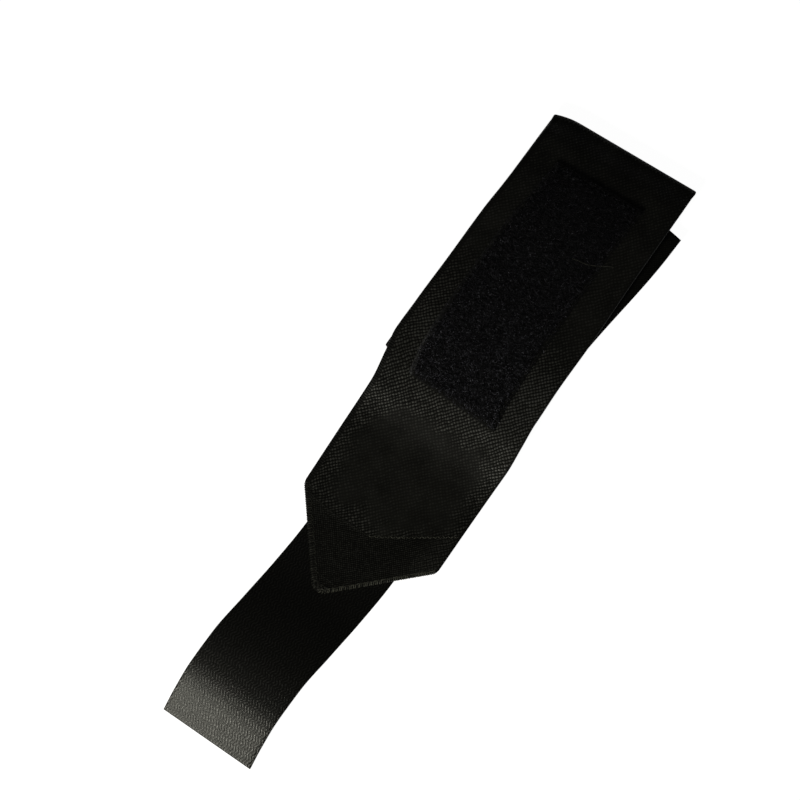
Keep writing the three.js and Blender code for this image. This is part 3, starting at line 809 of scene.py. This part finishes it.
strapCloth = {
    "width": 51.0, "backing": 0.75, "rowStep": 1.4, "columns": 22,
    "edgeInsets": [0.0, 0.12, 0.35], "edgeShares": [0.45, 0.85, 1.0],
    "freeInsets": [0.0, 0.15, 0.4], "freeShares": [0.5, 0.9, 1.0],
    "sewnInsets": [0.3, 0.0], "sewnShares": [0.9, 0.5],
}
hookRows = {
    "pitch": 1.75, "radius": 0.1, "margin": 1.6, "uneven": 0.12, "sides": 4, "tone": 0.5,
    "reach": np.array([0.0, 0.0, 0.06, 0.3, 0.55, 0.6]), "rise": np.array([1.0, 0.5, 0.22, 0.13, 0.22, 0.42]),
}


def strapMiddle(y, w, height):
    # height is measured up from the strap's underside, across its slope
    y, w = np.broadcast_arrays(np.asarray(y, float), np.asarray(w, float))
    past = (-outer - y) / wrap["strapFree"]
    drift = between(strapPlaces[:, 0], strapPlaces[:, 2], past)
    slope = (strapUnder(y + 0.2) - strapUnder(y - 0.2)) / 0.4
    tilt = np.sqrt(1 + slope ** 2)
    return np.stack([drift + w, y - height * slope / tilt, strapUnder(y) + height / tilt], -1)


def makeStrap():
    # the tape's backing: the strap's course pushed out both ways
    end = -outer - wrap["strapFree"]
    y = np.concatenate([[end + inset for inset in strapCloth["freeInsets"]],
                        np.arange(end + 1.2, strapStart - 1, strapCloth["rowStep"]),
                        [strapStart - inset for inset in strapCloth["sewnInsets"]]])
    w = acrossPlaces(np.full(len(y), strapCloth["width"] / 2), strapCloth["edgeInsets"],
                     strapCloth["columns"])
    level = wrap["strapThickness"] - strapCloth["backing"] / 2
    grid = strapMiddle(y[:, None], w, np.full(w.shape, level))
    share = roundedShare(w.shape[1], strapCloth["edgeShares"], strapCloth["freeShares"],
                         strapCloth["sewnShares"], len(y)) * strapCloth["backing"] / 2
    verts, faces = clothShell(grid, share, share)
    along = runLength(grid[:, w.shape[1] // 2])
    cloth = np.stack([np.broadcast_to(along[:, None], w.shape), w], -1)
    strap = makePiece("strapTape", verts, faces, strapMaterial(), bothFaces(cloth))
    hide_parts("hook_strap")
    hooks = makeHooks(end)
    return hooks


def makeHooks(end):
    # short stalks down from the tape that curl back up, in offset rows
    pitch, margin, uneven = hookRows["pitch"], hookRows["margin"], hookRows["uneven"]
    rowY = np.arange(end + margin, strapStart - margin, pitch)
    rowW = np.arange(-strapCloth["width"] / 2 + margin, strapCloth["width"] / 2 - margin, pitch)
    y, w = np.meshgrid(rowY, rowW, indexing="ij")
    w = w + (np.arange(len(rowY)) % 2)[:, None] * pitch / 2
    rng = np.random.default_rng(11)
    y = (y.ravel() + rng.normal(0, uneven, y.size))[:, None]
    w = (w.ravel() + rng.normal(0, uneven, w.size))[:, None]
    side = rng.choice([-1.0, 1.0], y.size)[:, None]
    heights = hookRows["rise"] * (wrap["strapThickness"] - strapCloth["backing"] + 0.1)
    reach = hookRows["reach"]
    paths = strapMiddle(y + 0 * reach, w + side * reach, heights[None, :] + 0 * y)
    verts, faces = tubes(paths, hookRows["radius"], hookRows["sides"])
    tone = np.full(len(verts), hookRows["tone"])
    hooks = makePiece("strapHooks", verts, faces, hookPlastic, marks={"tone": tone})
    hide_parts("hook_strap")
    return hooks


# The loop-pile patch.

patchCloth = {
    "width": 50.0, "length": 126.0, "toTip": 112.0, "border": 2.2, "borderThickness": 1.0,
    "pile": 2.2, "lumps": 0.28, "step": 0.85,
}
pileShape = {
    "fibres": 7400, "batches": 3, "steps": 5, "sides": 3, "radius": 0.09, "clump": 1.45, "clumpCount": 97,
    "inset": (0.5, 0.7), "reach": (0.7, 1.7), "brightShare": 0.03,
}
# share of the length, sideways place, share of the width
patchPlaces = np.array([[0, -0.2, 1], [0.1, -0.8, 1.02], [0.25, -1.6, 1.035], [0.45, -2.3, 1.03],
                        [0.65, -2.2, 1.02], [0.85, -1.4, 0.985], [1, -0.5, 0.96]])
patchStart = -outer + patchCloth["toTip"]
patchEnd = patchStart + patchCloth["length"]
patchHalf = patchCloth["width"] / 2


def patchAcross(y, share):
    # from a share across the patch, -1 to 1, to the distance across the band
    along = (y - patchStart) / patchCloth["length"]
    return (share * patchCloth["width"] / 2 * between(patchPlaces[:, 0], patchPlaces[:, 2], along)
            + between(patchPlaces[:, 0], patchPlaces[:, 1], along))


def borderedPlaces(low, high):
    # close together over the border on both sides, evenly spread between
    border = patchCloth["border"]
    fine = [0.0, 0.15, 0.6, border - 0.3, border, border + 0.35, border + 0.8]
    even = np.arange(low + border + 1.5, high - border - 1.5, patchCloth["step"])
    return np.concatenate([[low + f for f in fine], even, [high - f for f in fine[::-1]]])


def makePatch():
    # a thin border that rises smoothly to the pile, with waves and random lumps on it
    border, thin, clearance = patchCloth["border"], patchCloth["borderThickness"], wrap["clearance"]
    y, share = np.meshgrid(borderedPlaces(patchStart, patchEnd),
                           borderedPlaces(-patchHalf, patchHalf) / patchHalf, indexing="ij")
    w = patchAcross(y, share)
    grid = outerMiddle(y, w)
    fromRim = np.minimum(np.minimum(y - patchStart, patchEnd - y), patchHalf * (1 - np.abs(share)))
    rise = smooth(fromRim, border - 0.35, border + 0.9)
    rng = np.random.default_rng(5)
    lumps = (ripple(w, y, 21, 3.1) + ripple(w, y, 22, 1.9)) * 0.4 + rng.normal(0, 0.25, y.shape)
    height = (thin * np.clip(fromRim / 0.2, 0.45, 1.0)
              + rise * (patchCloth["pile"] - thin - 0.35 + patchCloth["lumps"] * lumps))
    base = thick / 2 + clearance * 0.35
    verts, faces = clothShell(grid, base + height + clearance * 0.65, np.full(y.shape, -base))
    # painted highlight: the left border's outer half, its side lit by the lamp, is paler near the tab
    fromLeft = patchHalf * (1 + share)
    marks = {"rim": 1 - smooth(fromRim, border - 0.3, border + 0.4),
             "paintedRidgeLight": (1 - smooth(fromLeft, 1.3, 2.5)) * (1 - 0.85 * smooth(y - patchStart, 10, 42))}
    marks = {name: bothFaces(values) for name, values in marks.items()}
    cloth = bothFaces(np.stack([y, w], -1))
    patch = makePiece("patchPile", verts, faces, pileMaterial(), cloth, marks)
    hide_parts("pile_patch")
    count = pileShape["clumpCount"]
    clumps = np.random.default_rng(6).random((3, count, count))
    made = [makeFibres(batch, clumps) for batch in range(pileShape["batches"])]
    return made


def makeFibres(batch, clumps):
    # short arches of pile: half a sine wave up, over a path that bends evenly
    rng = np.random.default_rng(40 + batch)
    count, steps = pileShape["fibres"], pileShape["steps"]
    inset = pileShape["inset"][0] + batch * pileShape["inset"][1]
    fromY = rng.uniform(patchStart + inset, patchEnd - inset, count)
    fromW = patchAcross(fromY, rng.uniform(-1, 1, count) * (1 - inset / patchHalf))
    # each clump of pile leans its own way and has its own height and tone
    spots = np.stack([fromY, fromW], 1) + rng.normal(0, 0.16, (count, 2))
    row, column = (np.floor(spots / pileShape["clump"]).astype(int) % pileShape["clumpCount"]).T
    clumpTone, clumpAngle, clumpHeight = clumps[:, row, column]
    angle = clumpAngle * 2 * math.pi + rng.normal(0, 0.7, count)
    reach = rng.uniform(*pileShape["reach"], count)[:, None]
    bendBy = rng.normal(0, 1.0, count)[:, None]
    t = np.linspace(0, 1, steps)[None, :]
    turn = angle[:, None] + bendBy * (t - 0.5) * 2
    arch = np.sin(t * math.pi) * (rng.uniform(0.1, 0.4, count) + 0.4 * clumpHeight)[:, None]
    y = np.clip(fromY[:, None] + (np.cos(turn) * reach / steps).cumsum(1), patchStart + 0.2, patchEnd - 0.2)
    w = fromW[:, None] + (np.sin(turn) * reach / steps).cumsum(1)
    toRim = np.minimum(np.minimum(y - patchStart, patchEnd - y), patchHalf - np.abs(w - patchAcross(y, 0.0)))
    thin = patchCloth["borderThickness"]
    level = thin - 0.1 + (patchCloth["pile"] - thin - 0.4) * smooth(toRim, 0.4, 2.6)
    paths = outerFace(y, w, wrap["clearance"] + level + arch)
    radius = pileShape["radius"] * rng.uniform(0.6, 1.4, count)[:, None] * np.ones((1, steps))
    verts, faces = tubes(paths, radius, pileShape["sides"])
    # a few bright fibres among dark ones, all painted lighter towards the tab, nearer the lamp
    bright = rng.random(count) < pileShape["brightShare"]
    brightTone = rng.uniform(0.4, 1.0, count)
    darkTone = rng.uniform(0, 1, count) ** 2 * (0.12 + 0.4 * clumpTone ** 2)
    tone = np.where(bright, brightTone, darkTone)
    tone = tone * (0.45 + 1.45 * (1 - (fromY - patchStart) / (patchEnd - patchStart)) ** 1.6)
    marks = {"tone": np.repeat(tone, steps * pileShape["sides"])}
    fibres = makePiece(f"pileFibres{batch + 1}", verts, faces, pileFibre, marks=marks)
    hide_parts("pile_patch")
    return fibres


print("stage: strap with", len(makeStrap().data.polygons), "hook faces")
print("stage: patch with", sum(len(p.data.polygons) for p in makePatch()), "fibre faces")

# The thumb loop.

loopCloth = {
    "ribbon": 14.0, "free": 53.0, "sewn": 12.0, "plyGap": 0.5, "fromEnd": 1.5, "fromSide": 10.0,
    "step": 1.2, "opensOver": 12, "eyeLift": 0.2, "eyeRows": 14, "eyeGap": 0.08, "columns": 8,
    "edgeInsets": [0.0, 0.12, 0.35], "edgeShares": [0.4, 0.85, 1.0],
}


def makeLoop():
    # a ribbon out along the lower ply, half round the eye, and back along the upper ply
    thickness, eyeRadius = wrap["loopThickness"], wrap["loopEyeRadius"]
    floor = 2 * thick + wrap["layerGap"] + wrap["clearance"] + thickness / 2
    ceiling = floor + thickness + loopCloth["plyGap"]
    sewnEnd = half - loopCloth["fromSide"]
    eye = sewnEnd - loopCloth["sewn"] - loopCloth["free"]
    eyeCentre = eye + thickness / 2 + eyeRadius
    eyeHeight = (floor + ceiling) / 2 + loopCloth["eyeLift"]
    end = innerLines([-wrap["innerEndToFold"]])[0]
    turn = math.radians(end[3])
    across = np.array([math.cos(turn), math.sin(turn), 0])
    along = np.array([-math.sin(turn), math.cos(turn), 0])
    w = np.arange(sewnEnd, eyeCentre + 0.3, -loopCloth["step"])
    keys = [eyeCentre, eyeCentre + loopCloth["opensOver"], sewnEnd]
    low = between(keys, [eyeHeight - eyeRadius, floor, floor], w)
    high = between(keys, [eyeHeight + eyeRadius, ceiling, ceiling], w)
    angle = np.linspace(loopCloth["eyeGap"], math.pi - loopCloth["eyeGap"], loopCloth["eyeRows"])
    eyeTurn = np.stack([eyeCentre - eyeRadius * np.sin(angle), eyeHeight - eyeRadius * np.cos(angle)], 1)
    path = np.concatenate([np.stack([w, low], 1), eyeTurn, np.stack([w, high], 1)[::-1]])
    places = acrossPlaces(np.full(len(path), loopCloth["ribbon"] / 2), loopCloth["edgeInsets"],
                          loopCloth["columns"])
    middle = np.array([end[0], end[1], 0]) - along * (loopCloth["fromEnd"] + loopCloth["ribbon"] / 2)
    grid = middle + path[:, 0][:, None, None] * across + places[..., None] * along
    grid[..., 2] = path[:, 1][:, None]
    share = roundedShare(places.shape[1], loopCloth["edgeShares"], [], [], len(path)) * thickness / 2
    verts, faces = clothShell(grid, share, share)
    length = runLength(path)
    cloth = np.stack([np.broadcast_to(length[:, None], places.shape), places], -1)
    loop = makePiece("thumbLoopRibbon", verts, faces, ribbonMaterial(), bothFaces(cloth))
    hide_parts("thumb_loop")


makeLoop()
print("stage: thumb loop")

# The sewing.

sewing = {
    "sides": 5, "overlockRadius": 0.15, "zigzagRadius": 0.19, "lockPitch": 2.6, "lockRadius": 0.16,
    "lockInset": 1.15, "lockTone": (0.0, 0.15), "tackCount": 60, "tackRadius": 0.16,
    # the overlocked edges: side, pitch, reach inwards, darkest and lightest tone
    "overlockRows": ((-1, 1.2, 3.0, 0.0, 0.35), (1, 0.95, 1.9, 0.0, 1.5)),
    # the tab's seams: points as y and w, pitch, width, seed, tones
    "tabRows": (([[-224.0, 2.0], [-212.5, 19.5], [-199.5, 38.0]], 1.25, 1.1, 31, (0.25, 0.8)),
                ([[-222.5, -36.5], [-224.5, -20.0], [-224.0, 1.0]], 1.25, 1.1, 32, (0.0, 0.12)),
                ([[-252.0, -9.5], [-252.6, 3.2]], 1.7, 0.0, 33, (0.0, 0.12))),
    # the loose fibre: points as y and w, lift, and how far it sinks where it leaves the pile
    "lintY": [-58.4, -57.8, -57.4, -56.2, -54.6, -53.0, -51.8],
    "lintW": [9.0, 12.0, 15.5, 19.0, 22.0, 25.0, 27.6],
    "lintLift": 2.75, "lintSink": 2.4, "lintRadius": 0.1, "lintTone": 0.75,
}


def tabEdge(t, side, inset):
    # along a slanted edge of the tab: t from 0 at the shoulder to 1 at the tip, inset inwards
    y = -outer + wrap["tabLength"] * (1 - t)
    halfWidth = outerLines(y.ravel())[:, 4].reshape(y.shape)
    slant = math.atan2(half - wrap["tabTipWidth"] / 2, wrap["tabLength"])
    return y + inset * math.sin(slant), side * (halfWidth - inset * math.cos(slant))


def stitched(name, paths, radius, tone, node="elastic_band"):
    verts, faces = tubes(paths, radius, sewing["sides"])
    marks = {"tone": np.repeat(tone, paths.shape[1] * sewing["sides"])}
    piece = makePiece(name, verts, faces, threadGrey, marks=marks)
    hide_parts(node)
    return piece


def makeOverlock():
    # each thread starts inside the edge, climbs over it and ends under it, slightly slanted
    rng = np.random.default_rng(7)
    allPaths, tones = [], []
    edgeLength = math.hypot(half, wrap["tabLength"])
    steps = np.linspace(0, 1, 8)[None, :]
    for side, pitch, reach, low, high in sewing["overlockRows"]:
        count = int(edgeLength / pitch)
        t = (np.arange(count) + 0.5) / count
        t = np.clip(t + rng.normal(0, 0.0025, count), 0, 0.995)[:, None]
        inset = reach * rng.uniform(0.8, 1.1, count)[:, None] * (1 - steps / 0.62)
        y, w = tabEdge(np.clip(t + (steps - 0.5) * 0.014, 0, 1), side, np.maximum(inset, -0.1))
        lift = np.interp(steps, [0, 0.12, 0.5, 0.66, 0.8, 1.0], [-0.1, 0.08, 0.02, -0.5, -1.5, -1.9])
        allPaths.append(outerFace(y, w, lift + 0 * y))
        tones.append(np.clip(rng.uniform(low, high, count), 0, 1))
        # the chain of loops along the inner side of the row
        count = int(edgeLength / (pitch * 0.9))
        t = ((np.arange(count) + rng.uniform(0.3, 0.7, count)) / count)[:, None]
        inset = reach * (0.78 + 0.14 * (np.arange(count) % 2))[:, None] + 0.35 * (steps - 0.5)
        y, w = tabEdge(np.clip(t + (steps - 0.5) * 0.024, 0, 0.99), side, inset)
        allPaths.append(outerFace(y, w, 0.12 - 0.5 * (steps - 0.5) ** 2 + 0 * y))
        tones.append(np.clip(rng.uniform(low, high, count) * 0.6, 0, 1))
    return stitched("tabOverlock", np.concatenate(allPaths), sewing["overlockRadius"], np.concatenate(tones))


def makeTipTack():
    # the crowded threads at the very tip: straight lines both ways, bowed up by a parabola
    rng = np.random.default_rng(8)
    count = sewing["tackCount"]
    angle = (rng.uniform(-0.6, 0.6, count) + math.pi / 2 * rng.integers(0, 2, count))[:, None]
    fromY = (-outer + 1.2 + rng.uniform(0, 3.4, count))[:, None]
    fromW = rng.uniform(-1, 1, count)[:, None] * (1.4 + (fromY + outer) * 0.85)
    steps = np.linspace(-1, 1, 6)[None, :]
    reach = rng.uniform(0.7, 1.5, count)[:, None]
    y = np.maximum(fromY + steps * np.cos(angle) * reach, -outer + 0.2)
    w = fromW + steps * np.sin(angle) * reach
    paths = outerFace(y, w, 0.22 - 0.35 * steps ** 2 + 0 * y)
    return stitched("tipTack", paths, sewing["tackRadius"], np.clip(rng.uniform(-0.4, 0.35, count), 0, 1))


def seam(points, pitch, width, seed, tones):
    # a row of stitches along a line on the outer layer; width above 0 makes it a zigzag
    points = np.asarray(points, float)
    run = runLength(points)
    count = int(run[-1] / pitch)
    at = np.linspace(0, run[-1], count + 1)
    line = np.stack([np.interp(at, run, points[:, 0]), np.interp(at, run, points[:, 1])], 1)
    direction = np.gradient(line, axis=0)
    direction /= np.linalg.norm(direction, axis=1, keepdims=True)
    swing = width / 2 * np.where(np.arange(count + 1) % 2, 1, -1)[:, None]
    spots = line + np.stack([-direction[:, 1], direction[:, 0]], 1) * swing
    steps = np.linspace(0.06, 0.94, 6)[None, :, None]
    thread = spots[:-1, None] * (1 - steps) + spots[1:, None] * steps
    lift = np.interp(steps[..., 0], [0.06, 0.25, 0.75, 0.94], [-0.25, 0.12, 0.12, -0.25])
    paths = outerFace(thread[..., 0], thread[..., 1], lift + 0 * thread[..., 0])
    return paths, np.random.default_rng(seed).uniform(*tones, count)


def makeSeams():
    rows = [seam(*row) for row in sewing["tabRows"]]
    paths, tone = (np.concatenate(part) for part in zip(*rows))
    return stitched("tabSeams", paths, sewing["zigzagRadius"], tone)


def makePatchSeam():
    # a lockstitch round the patch's border, lifted onto it
    inset = sewing["lockInset"]
    low, high, share = patchStart + inset, patchEnd - inset, 1 - inset / patchHalf
    yLine, sides = np.linspace(low, high, 60), np.linspace(-share, share, 30)
    left = np.stack([yLine, patchAcross(yLine, -share)], 1)
    right = np.stack([yLine, patchAcross(yLine, share)], 1)
    foot = np.stack([np.full(30, low), patchAcross(np.full(30, low), sides)], 1)
    head = np.stack([np.full(30, high), patchAcross(np.full(30, high), sides)], 1)
    rows = [seam(line, sewing["lockPitch"], 0.0, 50 + k, sewing["lockTone"])
            for k, line in enumerate((left, right, foot, head))]
    paths, tone = (np.concatenate(part) for part in zip(*rows))
    paths[..., 2] += wrap["clearance"] + patchCloth["borderThickness"] - 0.05
    return stitched("patchStitches", paths, sewing["lockRadius"], tone, "pile_patch")


def makeLint():
    # one pale fibre lying loose on the pile: a smooth line through its points
    t = np.linspace(0, 1, 40)
    key = np.linspace(0, 1, len(sewing["lintY"]))
    lift = sewing["lintLift"] - sewing["lintSink"] * smooth(t, 0.72, 0.9)
    paths = outerFace(between(key, sewing["lintY"], t), between(key, sewing["lintW"], t), lift)
    return stitched("looseFibre", paths[None], sewing["lintRadius"], np.array([sewing["lintTone"]]),
                    "pile_patch")


sewnPieces = [makeOverlock(), makeTipTack(), makeSeams(), makePatchSeam(), makeLint()]
print("stage: sewing,", sum(len(p.data.polygons) for p in sewnPieces), "faces")

# Floor, light and camera.

view = {
    "pixelsPerMm": 2.068, "fold": (626.9, 151.5), "lean": 34.82, "distance": 2.4,
    "imageSide": 800, "sensor": 36, "farthest": 20,
    "worldLight": 0.034, "keySize": 0.12, "keyPower": 0.8, "keyColour": (1.0, 0.985, 0.85),
    "keyPlace": (-0.04, -0.385, 0.31), "keyTarget": (-0.01, -0.05, 0.0),
    "floor": (0.5, 0.5, 0.5, 1), "floorGlow": 0.97, "floorReach": 4.0,
}


def makeFloor():
    mesh = bpy.data.meshes.new("floor")
    reach = view["floorReach"]
    corners = [(-reach, -reach, 0), (reach, -reach, 0), (reach, reach, 0), (-reach, reach, 0)]
    mesh.from_pydata(corners, [], [(0, 1, 2, 3)])
    floor = bpy.data.objects.new("floor", mesh)
    bpy.context.scene.collection.objects.link(floor)
    material, _, shader = newMaterial("paleFloor", 0.9, 0.1)
    shader.inputs["Base Color"].default_value = view["floor"]
    shader.inputs["Emission Color"].default_value = (1, 1, 1, 1)
    shader.inputs["Emission Strength"].default_value = view["floorGlow"]
    mesh.materials.append(material)


def makeLights():
    # a weak even light from all sides and one small lamp, aimed with its -Z
    world = bpy.data.worlds.new("studio")
    bpy.context.scene.world = world
    world.use_nodes = True
    background = world.node_tree.nodes["Background"]
    background.inputs[0].default_value = (1, 1, 1, 1)
    background.inputs[1].default_value = view["worldLight"]
    data = bpy.data.lights.new("keyLight", "AREA")
    data.energy, data.size, data.shape = view["keyPower"], view["keySize"], "SQUARE"
    data.color = view["keyColour"]
    light = bpy.data.objects.new("keyLight", data)
    bpy.context.scene.collection.objects.link(light)
    light.location = view["keyPlace"]
    direction = Vector(view["keyTarget"]) - Vector(view["keyPlace"])
    light.rotation_euler = direction.to_track_quat("-Z", "Y").to_euler()


def makeCamera():
    # straight above, rolled so that the band leans as it does in the picture
    data = bpy.data.cameras.new("camera")
    camera = bpy.data.objects.new("camera", data)
    bpy.context.scene.collection.objects.link(camera)
    roll, scale, middle = math.radians(view["lean"]), view["pixelsPerMm"], view["imageSide"] / 2
    dx, dy = middle - view["fold"][0], middle - view["fold"][1]
    y = (dx * math.sin(roll) - dy * math.cos(roll)) / scale
    x = (dx * math.cos(roll) + dy * math.sin(roll)) / scale
    data.sensor_width = view["sensor"]
    data.lens = view["sensor"] * view["distance"] / (view["imageSide"] / scale * mm)
    data.clip_end = view["farthest"]
    camera.location = ((x + shiftBy[0]) * mm, (y + shiftBy[1]) * mm, view["distance"])
    camera.rotation_euler = (0, 0, roll)
    bpy.context.scene.camera = camera


makeFloor()
makeLights()
makeCamera()
bpy.context.scene.view_settings.view_transform = "Standard"
print("stage: floor, light and camera")
